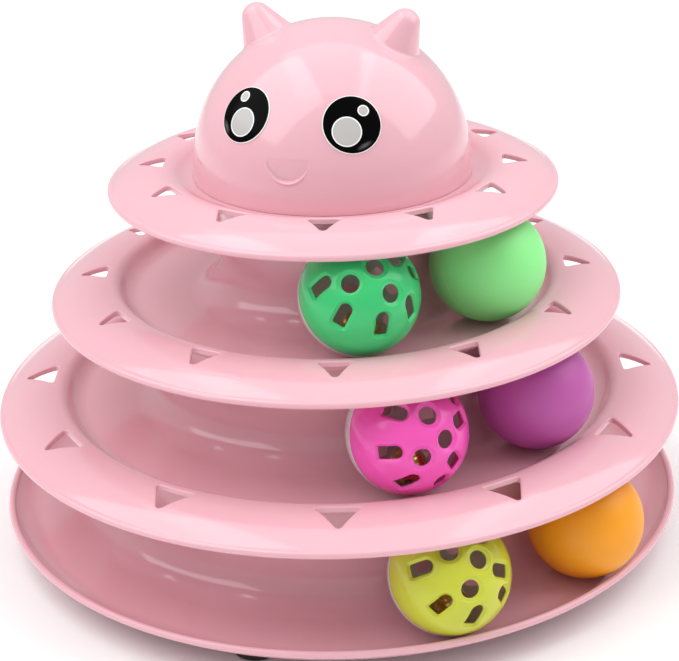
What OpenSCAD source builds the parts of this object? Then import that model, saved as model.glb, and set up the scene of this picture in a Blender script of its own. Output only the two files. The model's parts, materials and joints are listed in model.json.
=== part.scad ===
// Cat ball track toy: three stacked ball tracks under a hollow cat head.
// The tower stands on its rubber pads at z = 0 and its axis is +Z.
// The side that the balls gather on faces -Y.

/* [Tower] */
// Radius of the middle tray's hub at its foot bend
middle_hub_r = 41.4; // [40:0.1:42.6]
// Distance from the middle track out to the lower track
lower_step = 22.4; // [21.8:0.1:23.6]
// Distance from the lower track out to the base track
base_step = 23; // [22:0.1:24]
// Gap between a hub and the widest part of its lattice ball
hub_gap = 1.9; // [1.5:0.1:2.6]
// Distance from the base track out to the base tray's rim
base_rim_out = 16.6; // [16.3:0.1:18]
// Distance from the base track out to the lower tray's rim
lower_rim_out = 16.3; // [15.5:0.1:17.5]
// Distance from the lower track out to the middle tray's rim
middle_rim_out = 16.9; // [16:0.1:18]
// Distance from the middle track out to the top tray's rim
top_rim_out = 16.3; // [15.5:0.1:17.5]
// Height of the base tray's rim above the floor
base_rim_z = 13; // [12:0.5:16]
// Height of the lower tray's rim above the lattice ball under it
lower_rim_rise = 0.1; // [0:0.1:3]
// Height of the middle tray's rim above the lattice ball under it
middle_rim_rise = -0.5; // [-0.8:0.1:2]
// Height of the top tray's rim above the lattice ball under it
top_rim_rise = -0.8; // [-1:0.1:2]

/* [Trays] */
// Thickness of the moulded trays
wall = 2; // [1.6:0.1:2.4]
// Radius of the rolled lip round each rim
lip_r = 1.3; // [1.25:0.05:1.6]
// Width of each brim from its lip to its crest
brim_run = 16.6; // [16:0.1:19]
// Height of each brim's crest above its lip
brim_rise = 5.6; // [4:0.1:6]
// Width of each brim's ledge inside its crest
ledge_w = 3.8; // [2:0.1:4.5]
// Radius of the bend from a ledge into its groove
shoulder_r = 4; // [3:0.5:5]
// Angle of the slope between a ledge and its groove
slope_angle = 55; // [45:1:60]
// Angle of the slope between the top tray's ledge and the head's seat
seat_slope_angle = 36; // [34:1:38]
// Radius of the bend between that slope and the head's seat
seat_bend_r = 3.5; // [3:0.25:4]
// Radius of the outer bend at the bottom of a groove
groove_bend_r = 8; // [6:0.5:8]
// Height of a groove's floor above its tray's rim
groove_lift = 0.3; // [0:0.1:1]
// Depth of the base groove's floor below the base rim
base_dip = 4.4; // [4:0.1:5]
// Width of the base groove's curved outer wall
base_wall_run = 11.3; // [10.5:0.1:12]
// Radius of the bend between a groove's floor and the hub
foot_bend_r = 13; // [10:0.5:14]
// Draft of the hubs and spigots
draft_angle = 2; // [1:0.5:3]
// Radius of the bend at the top of a hub
hub_bend_r = 4; // [3:0.5:5]

/* [Hubs] */
// Height of the spigot on top of each hub
spigot_h = 20; // [17:0.5:22]
// Distance from the middle hub in to its spigot, which the head's tray sits on
top_spigot_in = 15.4; // [13:0.1:18]
// Clearance between a spigot and the hub that it plugs into
spigot_clear = 0.4; // [0.3:0.05:0.6]
// Radius of the bends at a spigot's foot and top
spigot_bend_r = 2.5; // [2:0.25:3]

/* [Cut-outs] */
// Number of triangular cut-outs in each brim
cut_count = 12; // [8:1:12]
// Distance from a rim in to the base of its cut-outs
cut_base_in = 19.8; // [18.6:0.1:20.2]
// Length of the lower tray's cut-outs from tip to base
lower_cut_l = 11.8; // [10:0.1:12.2]
// Length of the middle tray's cut-outs
middle_cut_l = 10.8; // [9:0.1:11.4]
// Length of the top tray's cut-outs
top_cut_l = 10; // [8.5:0.1:10.6]
// Width of the lower tray's cut-outs
lower_cut_w = 15.4; // [12:0.1:16]
// Width of the middle tray's cut-outs
middle_cut_w = 11.6; // [9:0.1:13]
// Width of the top tray's cut-outs
top_cut_w = 12; // [9:0.1:13]
// Radius of a cut-out's two base corners
cut_corner_r = 0.9; // [0.6:0.1:1.2]
// Radius of a cut-out's tip
cut_tip_r = 1.4; // [0.8:0.1:1.6]
// Turn of the lower and middle trays' cut-outs from -Y towards +X
cut_angle = -0.7; // [-15:0.1:15]
// Turn of the top tray's cut-outs
top_cut_angle = -3.1; // [-15:0.1:15]

/* [Feet] */
// Distance from the base tray's rim in to the middle of a foot
foot_in = 21.6; // [20.5:0.1:24.5]
// Turn of the first foot from -Y towards +X
foot_angle = -16.6; // [-45:0.1:45]
// Radius of a rubber pad
pad_r = 8; // [7:0.5:9]
// Thickness of a rubber pad
pad_t = 3; // [2:0.1:4]
// Radius of the boss above a pad
boss_r = 6.8; // [5:0.1:6.9]
// Radius of a pad's rounded edge
pad_edge_r = 0.8; // [0.4:0.1:1]

/* [Balls] */
// Radius of a lattice ball
lattice_r = 20.3; // [19.8:0.1:20.6]
// How much smaller the radius of a plain ball is
plain_less = 0.3; // [0:0.1:0.6]
// Wall thickness of the balls
ball_wall = 1.4; // [1:0.1:1.6]
// Gap between a ball and the floor that it rolls on
roll_gap = 0.3; // [0.2:0.05:0.5]
// Turn of the yellow lattice ball from -Y towards +X
yellow_angle = 18.3; // [16:0.1:20]
// Turn of the orange ball
orange_angle = 49.6; // [47:0.1:52]
// Turn of the pink lattice ball
pink_angle = 14.7; // [12:0.1:17]
// Turn of the purple ball
purple_angle = 51.4; // [49:0.1:54]
// Turn of the emerald lattice ball
emerald_angle = 6.8; // [4:0.1:9]
// Turn of the green ball
green_angle = 54.8; // [52:0.1:58]

/* [Lattice] */
// Radius of the round holes
hole_r = 3; // [2.5:0.1:3.3]
// Width of the slots
slot_w = 4.4; // [4:0.1:5]
// Length of the slots
slot_l = 8.1; // [7:0.1:8.5]

/* [Bells] */
// Radius of a bell
bell_r = 6.6; // [6.2:0.1:7.4]
// Thickness of a bell's metal
bell_wall = 0.7; // [0.5:0.1:0.8]
// Width of the rolled band that joins a bell's halves
band_w = 1.6; // [1:0.1:2]
// How far the band stands out
band_out = 0.5; // [0.3:0.1:0.6]
// Width of a bell's crossed slots
chime_w = 1.6; // [1:0.1:2]
// Radius of the holes that end the crossed slots
chime_end_r = 1.5; // [1.2:0.1:1.8]
// Angle of the slots' end holes from the bell's bottom
chime_angle = 62; // [50:1:65]
// Radius of the steel pellet
pellet_r = 2.2; // [2:0.1:2.6]
// Thickness of the wire loop on a bell
eye_wire = 1; // [0.8:0.1:1.2]
// Radius of the loop, to the middle of its wire
eye_r = 2; // [1.6:0.1:2.4]

/* [Head] */
// Distance from the top tray's rim in to the dome
dome_in = 30.9; // [30:0.1:31.5]
// Thickness of the dome
dome_wall = 2; // [1.6:0.1:2.4]
// Height of the dome's centre above the top rim
dome_up = 7.6; // [7:0.1:8.2]
// Height of the head's seat above the top rim
seat_up = 3.3; // [3:0.1:3.6]
// Height of the ring that holds the head
ring_h = 6; // [5:0.5:8]
// Clearance between that ring and the dome
head_clear = 0.3; // [0.2:0.05:0.5]
// Angle that the dome's foot flares out by
flare_angle = 6; // [3:0.5:7]
// Turn of the face from -Y towards +X
face_angle = -17; // [-30:0.5:30]
// Angle from the middle of the face to an eye
eye_side_angle = 25.6; // [24:0.1:27]
// Angle of the left eye above the dome's centre
left_eye_up_angle = 31.6; // [29:0.2:33]
// Angle of the right eye above the dome's centre
right_eye_up_angle = 30.2; // [29:0.2:33]
// Radius of an eye sticker
sticker_r = 10.1; // [9:0.1:10.5]
// Thickness of an eye sticker
sticker_t = 0.4; // [0.3:0.05:0.6]
// Gap left by an eye sticker's glue
glue_t = 0.05; // [0.03:0.01:0.1]
// Radius of the mouth's half-moon
mouth_r = 7.4; // [6.5:0.1:8]
// Angle of the mouth's top edge above the dome's centre
mouth_up_angle = 16.6; // [15:0.2:18]
// Depth of the mouth
mouth_depth = 1; // [0.6:0.1:1.2]
// Width of the raised crescent under the mouth
mouth_line = 1.1; // [0.8:0.1:1.4]
// Height of an ear's tip above the dome
ear_h = 11.7; // [10:0.1:12.5]
// Angle of the ears above the dome's centre
ear_up_angle = 61.3; // [58:0.1:64]
// Angle from the middle of the face to an ear
ear_side_angle = 94; // [90:0.5:96]
// Radius of an ear's rounded tip
ear_tip_r = 5.3; // [4:0.1:5.6]
// Radius of an ear at its root
ear_root_r = 9.8; // [9:0.1:10.4]

/* [Hidden] */
$fn = 96;

// Overrun of every cut past the solid that it cuts
over = 1;
// Number of steps along a bend in a profile
bend_steps = 8;
// Number of steps along a brim's long curve
brim_steps = 12;

half_wall = wall / 2;

// Sizes of the balls
plain_r = lattice_r - plain_less;
plain_up = plain_r + roll_gap;
lattice_up = lattice_r + roll_gap;
ball_top = lattice_up + lattice_r;

// Tracks, from the tower's axis to the balls' centres
middle_track_r = middle_hub_r + hub_gap + lattice_r;
lower_track_r = middle_track_r + lower_step;
base_track_r = lower_track_r + base_step;

// Each hub stands as far inside its track as the middle one
lower_hub_r = middle_hub_r + lower_step;
base_hub_r = lower_hub_r + base_step;

// Each rim lies outside a track, the upper ones over the track of the tray below
base_rim_r = base_track_r + base_rim_out;
lower_rim_r = base_track_r + lower_rim_out;
middle_rim_r = lower_track_r + middle_rim_out;
top_rim_r = middle_track_r + top_rim_out;

// Heights of the rims and of the tops of the grooves' floors, from the floor up
base_floor_z = base_rim_z - base_dip;
lower_rim_z = base_floor_z + ball_top + lower_rim_rise;
lower_floor_z = lower_rim_z + groove_lift;
middle_rim_z = lower_floor_z + ball_top + middle_rim_rise;
middle_floor_z = middle_rim_z + groove_lift;
top_rim_z = middle_floor_z + ball_top + top_rim_rise;
seat_z = top_rim_z + seat_up;

// A hub's flat top carries the underside of the next tray
base_hub_z = lower_floor_z - wall;
lower_hub_z = middle_floor_z - wall;
middle_hub_z = seat_z + ring_h - wall;

// A spigot's wall leans as the hub's wall does, with the clearance between them
lean = tan(draft_angle);
spigot_in = wall + spigot_clear - lean * (wall + foot_bend_r - spigot_bend_r);
base_spigot_r = lower_hub_r - spigot_in;
lower_spigot_r = middle_hub_r - spigot_in;
top_spigot_r = middle_hub_r - top_spigot_in;
sleeve_r = top_spigot_r + wall + spigot_clear - lean * wall;

// Depth of a bell's centre below its ball's centre
bell_down = lattice_r - ball_wall - roll_gap - bell_r;
// Depth of a pellet's centre below its bell's centre
pellet_down = bell_r - bell_wall - roll_gap - pellet_r;
// The mouth's crescent stands this far out of the dome
mouth_line_out = mouth_line / 3;

dome_r = top_rim_r - dome_in;
dome_z = top_rim_z + dome_up;
ear_reach = dome_r + ear_h;
ring_r = dome_r - dome_wall - head_clear;
// The bend at the ring's foot stays inside the clearance, so that the dome's foot sits flat
ring_foot_r = half_wall + head_clear / 2;

// Number of feet; each pad is a node
foot_count = 4;
foot_place_r = base_rim_r - foot_in;

// Points of an arc about a centre, from one angle to another
function arc(centre, r, from, to, steps = bend_steps) =
    [for (i = [0:steps]) let (turn = from + (to - from) * i / steps) centre + r * [cos(turn), sin(turn)]];

// Direction of a line of points at one of its points
function heading(line, i) =
    let (a = line[max(i - 1, 0)], b = line[min(i + 1, len(line) - 1)]) (b - a) / norm(b - a);

// The line of points moved sideways, up where the line runs towards the axis
function beside(line, gap) =
    [for (i = [0:len(line) - 1]) let (t = heading(line, i)) line[i] + gap * [t[1], -t[0]]];

// All points of a line but its first
function after_first(line) = [for (i = [1:len(line) - 1]) line[i]];

// A line's points from last to first
function backwards(line) = [for (i = [len(line) - 1:-1:0]) line[i]];

// The outline of a sheet of the wall's thickness along a line, with a round lip at its start
function sheet(line) =
    let (
        t = heading(line, 0),
        along = atan2(t[1], t[0]),
        join = asin(half_wall / lip_r)
    )
    concat(
        arc(line[0], lip_r, along + join, along + 360 - join, brim_steps),
        after_first(beside(line, half_wall)),
        backwards(after_first(beside(line, -half_wall)))
    );

// The middle line of a brim from its lip to its groove's floor
function brim_line(rim_r, rim_z, floor_z, slope, groove_r) =
    let (
        start = [rim_r - lip_r, rim_z],
        r = (brim_run * brim_run + brim_rise * brim_rise) / (2 * brim_rise),
        centre = start + [-brim_run, brim_rise - r],
        ledge_end = 90 + asin(ledge_w / r),
        bend = centre + (r - shoulder_r) * [cos(ledge_end), sin(ledge_end)],
        edge = bend + shoulder_r * [cos(90 + slope), sin(90 + slope)],
        drop = edge[1] - floor_z - groove_r * (1 - cos(slope)),
        groove = [edge[0] - drop / tan(slope) - groove_r * sin(slope), floor_z + groove_r]
    )
    concat(
        arc(centre, r, atan2(r - brim_rise, brim_run), ledge_end, brim_steps),
        after_first(arc(bend, shoulder_r, ledge_end, 90 + slope)),
        arc(groove, groove_r, slope - 90, -90)
    );

// The middle line of the base's curved outer wall
function base_wall_line(floor_z) =
    let (
        rise = base_rim_z - floor_z,
        r = (base_wall_run * base_wall_run + rise * rise) / (2 * rise),
        centre = [base_rim_r - lip_r - base_wall_run, floor_z + r]
    )
    arc(centre, r, -acos(base_wall_run / r), -90, brim_steps);

// The middle line of a round step up: a foot bend, a leaning wall and a top bend
function step_line(foot_r, floor_z, top_z, foot_bend, top_bend) =
    let (
        foot = [foot_r + foot_bend, floor_z + foot_bend],
        wall_foot = foot - foot_bend * [cos(draft_angle), sin(draft_angle)],
        wall_top_z = top_z - top_bend + top_bend * sin(draft_angle),
        wall_top_r = wall_foot[0] - (wall_top_z - wall_foot[1]) * lean
    )
    concat(
        arc(foot, foot_bend, -90, draft_angle - 180),
        arc([wall_top_r - top_bend * cos(draft_angle), top_z - top_bend], top_bend, draft_angle, 90)
    );

// The middle line of a hub with its spigot, to the axis
function hub_line(hub_r, floor_z, hub_z, spigot_r) =
    concat(
        step_line(hub_r - half_wall, floor_z, hub_z, foot_bend_r, hub_bend_r),
        step_line(spigot_r - half_wall, hub_z, hub_z + spigot_h, spigot_bend_r, spigot_bend_r),
        [[0, hub_z + spigot_h]]
    );

// Places its children at a distance from the axis, turned from -Y towards +X, at a height
module turned(turn, r, z) {
    rotate([0, 0, turn]) translate([0, -r, z]) children();
}

// A triangle with round corners, its tip on -Y and its base at a distance from the axis
module cut_outline(base, length, width) {
    rake = atan2(width / 2, length);
    inset = cut_corner_r / tan(45 - rake / 2);
    nose = [0, cut_tip_r / sin(rake) - base - length];
    right = [width / 2 - inset, -base - cut_corner_r];
    polygon(concat(
        arc(nose, cut_tip_r, 180 + rake, 360 - rake),
        arc(right, cut_corner_r, -rake, 90),
        arc([-right[0], right[1]], cut_corner_r, 90, 180 + rake)
    ));
}

module brim_cuts(rim_r, rim_z, length, width, turn) {
    for (i = [0:cut_count - 1])
        turned(turn + 360 * i / cut_count, 0, rim_z - lip_r)
            linear_extrude(lip_r + brim_rise + wall + over)
                cut_outline(rim_r - cut_base_in, length, width);
}

module brim_tray(rim_r, rim_z, hub_r, floor_z, hub_z, spigot_r, cut_l, cut_w) {
    floor_mid = floor_z - half_wall;
    color("pink") difference() {
        rotate_extrude()
            polygon(sheet(concat(
                brim_line(rim_r, rim_z, floor_mid, slope_angle, groove_bend_r),
                hub_line(hub_r, floor_mid, hub_z - half_wall, spigot_r)
            )));
        brim_cuts(rim_r, rim_z, cut_l, cut_w, cut_angle);
    }
}

module base_tray() {
    floor_mid = base_floor_z - half_wall;
    color("pink") union() {
        rotate_extrude()
            polygon(sheet(concat(
                base_wall_line(floor_mid),
                hub_line(base_hub_r, floor_mid, base_hub_z - half_wall, base_spigot_r)
            )));
        for (i = [0:foot_count - 1])
            turned(foot_angle + 360 * i / foot_count, foot_place_r, pad_t)
                cylinder(r = boss_r, h = floor_mid - pad_t);
    }
}

module foot_pad(i) {
    color("black") turned(foot_angle + 360 * i / foot_count, foot_place_r, 0)
        rotate_extrude()
            polygon(concat(
                [[0, 0]],
                arc([pad_r - pad_edge_r, pad_edge_r], pad_edge_r, -90, 0),
                arc([pad_r - pad_edge_r, pad_t - pad_edge_r], pad_edge_r, 0, 90),
                [[0, pad_t]]
            ));
}

module lower_tray() {
    brim_tray(
        lower_rim_r, lower_rim_z, lower_hub_r, lower_floor_z, lower_hub_z, lower_spigot_r,
        lower_cut_l, lower_cut_w
    );
}

module middle_tray() {
    brim_tray(
        middle_rim_r, middle_rim_z, middle_hub_r, middle_floor_z, middle_hub_z, top_spigot_r,
        middle_cut_l, middle_cut_w
    );
}

module top_tray() {
    seat_mid = seat_z - half_wall;
    plate_mid = seat_mid + ring_h;
    cap_mid = plate_mid + spigot_h + spigot_clear;
    color("pink") difference() {
        rotate_extrude()
            polygon(sheet(concat(
                brim_line(top_rim_r, top_rim_z, seat_mid, seat_slope_angle, seat_bend_r),
                step_line(ring_r - half_wall, seat_mid, plate_mid, ring_foot_r, spigot_bend_r),
                step_line(sleeve_r - half_wall, plate_mid, cap_mid, spigot_bend_r, spigot_bend_r),
                [[0, cap_mid]]
            )));
        brim_cuts(top_rim_r, top_rim_z, top_cut_l, top_cut_w, top_cut_angle);
    }
}

// Places its children at the dome's centre, with +Z out through the dome
// at a turn from the middle of the face and an angle above the dome's centre
module on_dome(turn, up) {
    translate([0, 0, dome_z]) rotate([0, 0, face_angle + turn]) rotate([90 - up, 0, 0]) children();
}

module half_moon(r) {
    difference() {
        circle(r);
        translate([-r - over, 0]) square([2 * (r + over), r + over]);
    }
}

// A round cone with a round tip, from inside the dome out
module ear(side) {
    tip = [0, ear_reach - ear_tip_r];
    root = [ear_root_r, dome_r - dome_wall];
    to_root = root - tip;
    touch = atan2(to_root[1], to_root[0]) + acos(ear_tip_r / norm(to_root));
    on_dome(side * ear_side_angle, ear_up_angle)
        rotate_extrude() polygon(concat([[0, root[1]], root], arc(tip, ear_tip_r, touch, 90, brim_steps)));
}

// The dome's outline about its centre, with its foot flaring out to a height below it
module dome_outline(r, foot) {
    bend = r * [cos(flare_angle), sin(flare_angle)];
    intersection() {
        circle(r);
        translate([0, bend[1]]) square(r);
    }
    polygon([[0, foot], [bend[0] + (bend[1] - foot) * tan(flare_angle), foot], bend, [0, bend[1]]]);
}

module cat_head() {
    foot = seat_z - dome_z;
    color("pink") difference() {
        union() {
            translate([0, 0, dome_z]) rotate_extrude() dome_outline(dome_r, foot);
            ear(-1);
            ear(1);
            on_dome(0, mouth_up_angle) intersection() {
                translate([0, -mouth_line, dome_r - dome_wall])
                    linear_extrude(dome_wall + over) half_moon(mouth_r);
                sphere(dome_r + mouth_line_out);
            }
        }
        translate([0, 0, dome_z]) rotate_extrude() dome_outline(dome_r - dome_wall, foot - over);
        on_dome(0, mouth_up_angle) difference() {
            translate([0, 0, dome_r - dome_wall]) linear_extrude(dome_wall + over) half_moon(mouth_r);
            sphere(dome_r - mouth_depth);
        }
    }
}

module eye(side, up) {
    inside = dome_r + glue_t;
    color("black") on_dome(side * eye_side_angle, up) intersection() {
        difference() {
            sphere(inside + sticker_t);
            sphere(inside);
        }
        cylinder(r = sticker_r, h = inside + sticker_t + over);
    }
}

module left_eye() { eye(-1, left_eye_up_angle); }

module right_eye() { eye(1, right_eye_up_angle); }

module plain_ball(turn, track_r, floor_z) {
    turned(turn, track_r, floor_z + plain_up) difference() {
        sphere(plain_r);
        sphere(plain_r - ball_wall);
    }
}

module orange_ball() { color("darkorange") plain_ball(orange_angle, base_track_r, base_floor_z); }

module purple_ball() { color("mediumorchid") plain_ball(purple_angle, lower_track_r, lower_floor_z); }

module green_ball() { color("lightgreen") plain_ball(green_angle, middle_track_r, middle_floor_z); }

// Half of a hollow ball that rises from z = 0
module half_shell(r, thickness) {
    rotate_extrude() intersection() {
        difference() {
            circle(r);
            circle(r - thickness);
        }
        square(r);
    }
}

// A slot's outline, flat on +X and round on -X
module slot_outline() {
    translate([(slot_w - slot_l) / 2, 0]) circle(slot_w / 2);
    translate([(slot_w - slot_l) / 2, -slot_w / 2]) square([slot_l - slot_w / 2, slot_w]);
}

// Places of a half's round holes, each [angle from the pole, angle about the pole]
hole_angles = [[16, 0], [21, 104], [21, -104]];
// Places of the slots on one side of a half, each with the angle that it leans by about its own middle
slot_angles = [[41.5, 31, 0], [58.5, 56.5, 0], [51.5, 101, 27], [42, 150, 13]];

// Half of a lattice ball, with its pole on +Z
module lattice_half() {
    difference() {
        half_shell(lattice_r, ball_wall);
        for (place = hole_angles)
            rotate([0, place[0], place[1]]) cylinder(r = hole_r, h = lattice_r + over);
        for (place = slot_angles, side = [-1, 1])
            rotate([0, place[0], side * place[1]]) rotate([0, 0, side * place[2]])
                linear_extrude(lattice_r + over) slot_outline();
    }
}

// Where a lattice ball sits, [turn, radius of its track, height of its floor]
yellow_place = [yellow_angle, base_track_r, base_floor_z];
pink_place = [pink_angle, lower_track_r, lower_floor_z];
emerald_place = [emerald_angle, middle_track_r, middle_floor_z];

// How a lattice ball's coloured pole lies: [tilt from +Z, heading from +X, spin about the pole]
yellow_pole_angles = [53.9, -75.5, 109.9];
pink_pole_angles = [69.7, -67.4, 72];
emerald_pole_angles = [56.2, -75.4, 159.3];

module at_ball(place, down = 0) {
    turned(place[0], place[1], place[2] + lattice_up - down) rotate([0, 0, -place[0]]) children();
}

module shell_half(place, pole, over_turn) {
    at_ball(place) rotate([0, pole[0], pole[1]]) rotate([over_turn, 0, pole[2]]) lattice_half();
}

// The upper half of a bell, with its rolled band and its wire loop
module bell_cap(place) {
    color("goldenrod") at_ball(place, bell_down) {
        half_shell(bell_r, bell_wall);
        rotate_extrude() translate([bell_r - bell_wall / 2, 0])
            square([bell_wall / 2 + band_out, band_w / 2]);
        rotate_extrude() translate([bell_r, -band_w / 2]) square([band_out, band_w]);
        translate([0, 0, bell_r - bell_wall / 2 + eye_r]) rotate([90, 0, 0])
            rotate_extrude() translate([eye_r, 0]) circle(eye_wire / 2);
    }
}

// The lower half of a bell, with its crossed slots
module bell_cup(place) {
    slot_reach = bell_r * sin(chime_angle);
    color("goldenrod") at_ball(place, bell_down) difference() {
        rotate([180, 0, 0]) half_shell(bell_r, bell_wall);
        for (i = [0:1])
            rotate([0, 0, 90 * i]) translate([-slot_reach, -chime_w / 2, -bell_r - over])
                cube([2 * slot_reach, chime_w, bell_r]);
        for (i = [0:3])
            rotate([0, 180 - chime_angle, 90 * i]) cylinder(r = chime_end_r, h = bell_r + over);
    }
}

module pellet(place) {
    color("silver") at_ball(place, bell_down + pellet_down) sphere(pellet_r);
}

module yellow_half() { color("yellow") shell_half(yellow_place, yellow_pole_angles, 0); }

module yellow_white_half() { color("white") shell_half(yellow_place, yellow_pole_angles, 180); }

module pink_half() { color("hotpink") shell_half(pink_place, pink_pole_angles, 0); }

module pink_white_half() { color("white") shell_half(pink_place, pink_pole_angles, 180); }

module emerald_half() { color("mediumseagreen") shell_half(emerald_place, emerald_pole_angles, 0); }

module emerald_white_half() { color("white") shell_half(emerald_place, emerald_pole_angles, 180); }

base_tray();
foot_pad(0);  // foot_pad_1
foot_pad(1);  // foot_pad_2
foot_pad(2);  // foot_pad_3
foot_pad(3);  // foot_pad_4
lower_tray();
middle_tray();
top_tray();
cat_head();
left_eye();
right_eye();
orange_ball();
purple_ball();
green_ball();
yellow_half();
yellow_white_half();
bell_cap(yellow_place);  // yellow_bell_cap
bell_cup(yellow_place);  // yellow_bell_cup
pellet(yellow_place);  // yellow_pellet
pink_half();
pink_white_half();
bell_cap(pink_place);  // pink_bell_cap
bell_cup(pink_place);  // pink_bell_cup
pellet(pink_place);  // pink_pellet
emerald_half();
emerald_white_half();
bell_cap(emerald_place);  // emerald_bell_cap
bell_cup(emerald_place);  // emerald_bell_cup
pellet(emerald_place);  // emerald_pellet
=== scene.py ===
import json
import math

import bmesh
import bpy
import numpy as np
from mathutils import Matrix, Vector
from mathutils.geometry import delaunay_2d_cdt


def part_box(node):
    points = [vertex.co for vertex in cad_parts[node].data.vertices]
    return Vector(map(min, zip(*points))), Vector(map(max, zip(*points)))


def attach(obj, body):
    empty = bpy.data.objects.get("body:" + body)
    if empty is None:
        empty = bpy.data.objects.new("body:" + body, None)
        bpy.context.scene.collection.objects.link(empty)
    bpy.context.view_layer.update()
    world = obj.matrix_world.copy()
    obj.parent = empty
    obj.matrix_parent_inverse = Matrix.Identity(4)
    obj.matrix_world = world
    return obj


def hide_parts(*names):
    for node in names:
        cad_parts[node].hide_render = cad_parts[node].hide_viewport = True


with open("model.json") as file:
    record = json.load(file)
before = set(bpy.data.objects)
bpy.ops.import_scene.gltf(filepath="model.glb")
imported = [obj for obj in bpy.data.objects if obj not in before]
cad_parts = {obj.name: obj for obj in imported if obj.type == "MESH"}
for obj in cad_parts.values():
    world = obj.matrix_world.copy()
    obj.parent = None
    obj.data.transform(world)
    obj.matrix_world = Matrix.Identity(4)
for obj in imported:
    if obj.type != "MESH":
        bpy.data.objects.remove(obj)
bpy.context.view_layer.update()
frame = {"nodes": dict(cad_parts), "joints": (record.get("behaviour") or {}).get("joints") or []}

# Lengths are in millimetres and angles in degrees, as in the part's source. MM turns a length into metres
MM = 0.001

# Trays
WALL = 2.0
HALF_WALL = WALL / 2
LIP_R = 1.3
# Where a lip leaves its wall, as a share of the lip's radius
LIP_JOIN_SHARE = 1.1
# A brim crests BRIM_RUN in from its lip and BRIM_RISE above it, goes on over a ledge, and turns down a
# slope into its groove
BRIM_RUN = 16.6
BRIM_RISE = 5.6
LEDGE_W = 3.8
SHOULDER_R = 4.0
SLOPE_ANGLE = 55.0
GROOVE_BEND_R = 8.0
GROOVE_BENDS = (LEDGE_W, SHOULDER_R, SLOPE_ANGLE, GROOVE_BEND_R)
# The top tray's brim sweeps down to the head's seat with no ledge
SEAT_SHOULDER_R = 13.0
SEAT_SLOPE_ANGLE = 30.0
SEAT_BEND_R = 11.0
SEAT_BENDS = (0.0, SEAT_SHOULDER_R, SEAT_SLOPE_ANGLE, SEAT_BEND_R)
# A groove's floor lies this far above its tray's rim, and the base's this far below its own
GROOVE_LIFT = 0.3
BASE_DIP = 4.4
BASE_WALL_RUN = 11.3
FOOT_BEND_R = 13.0
# Lean of the hubs' walls
DRAFT = 2.0
HUB_BEND_R = 4.0
SPIGOT_BEND_R = 2.5
SPIGOT_H = 20.0
SPIGOT_CLEAR = 0.4
TOP_SPIGOT_R = 26.0
BASE_HUB_R = 86.8
LOWER_HUB_R = 63.8
MIDDLE_HUB_R = 41.4
BASE_RIM_Z = 13.0

# Cut-outs in the brims
CUT_COUNT = 12
CUT_BASE_IN = 19.8
# How far the band that holds the cut-outs goes past them, towards the rim and towards the groove
CUT_BAND_OUT = 1.6
CUT_BAND_IN = 1.5
# Length and width of each tray's cut-outs
CUT_SIZES = {"lower_tray": (11.8, 15.4), "middle_tray": (10.8, 11.6), "top_tray": (10.0, 12.0)}
CUT_CORNER_R = 0.9
CUT_TIP_R = 1.4
# Rounded edges of the cut-outs on the top side and on the under side
CUT_EDGE_RS = {HALF_WALL: 0.6, -HALF_WALL: 0.25}
# Fill points of the band's mesh keep this far off a cut-out
FILL_CLEAR = 0.35
CUT_ANGLE = -0.7
TOP_CUT_ANGLE = -3.1

# Feet
FOOT_COUNT = 4
FOOT_ANGLE = -16.6
FOOT_PLACE_R = 104.0
BOSS_R = 6.8
PAD_T = 3.0

# Balls
BALL_WALL = 1.4
SEAM_W = 0.5
SEAM_DEPTH = 0.12
# Half the band of fine steps across a seam, an angle
SEAM_BAND = 1.5
LATTICE_R = 20.3
HOLE_R = 3.0
SLOT_W = 4.4
SLOT_L = 8.1
SLOT_CORNER_R = 0.6
HOLE_BEVEL = 1.25
SLOT_BEVEL = 0.8
BEVEL_DEPTH = 0.75
BEVEL_EDGE_R = 0.18
INNER_EDGE_R = 0.25
JOIN_EDGE_R = 0.3
# Two places on the halves' rounded edge, as shares of its radius: inward and up, and up at its end
JOIN_MIDDLE_SHARES = (0.3, 0.35)
JOIN_LOW_SHARE = 0.02
# Fill points of a half's mesh keep this far off its openings, in radians
FLAT_CLEAR = 0.02
# How an opening's wall starts under its bevel: growth, and depth below the bevel
BEVEL_FOOT = [(0.12, 0.0), (0.03, 0.06), (0.0, 0.16)]
# Round holes: angle from the pole and angle about it
HOLE_ANGLES = [(16.0, 0.0), (21.0, 104.0), (21.0, -104.0)]
# Slots, one of each mirrored pair: the same two angles and a lean
SLOT_ANGLES = [(41.5, 31.0, 0.0), (58.5, 56.5, 0.0), (51.5, 101.0, 27.0), (42.0, 150.0, 13.0)]
# Each lattice ball's pole: tilt from the vertical, heading, and spin about the pole
POLES = {
    "yellow": (53.9, -75.5, 109.9),
    "pink": (69.7, -67.4, 72.0),
    "emerald": (56.2, -75.4, 159.3),
}
# Each plain ball's seam: tilt and heading
SEAMS = {"orange": (60, 20), "purple": (35, -30), "green": (70, 40)}

# Head
DOME_R = 49.0
DOME_WALL = 2.0
# Heights over the top tray's rim of the dome's centre and of its seat, and of the hidden ring on the seat
DOME_UP = 7.6
SEAT_UP = 3.3
RING_H = 6.0
HEAD_CLEAR = 0.3
FLARE_ANGLE = 6.0
FOOT_EDGE_R = 0.3
FACE_ANGLE = -17.0
MOUTH_SIDE_ANGLE = -1.4
EYE_SIDE_ANGLE = 26.2
EYE_UP_ANGLES = {-1: 31.6, 1: 30.2}
STICKER_R = 9.85
STICKER_T = 0.4
STICKER_EDGE_R = 0.15
GLUE_T = 0.05
# The printed discs on each eye start this far below the sticker's top and rise in thin steps
DISC_SINK = 0.1
DISC_LIFT = 0.04
EYE_EDGE = 0.28
SPOT_EDGE = 0.4
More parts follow.
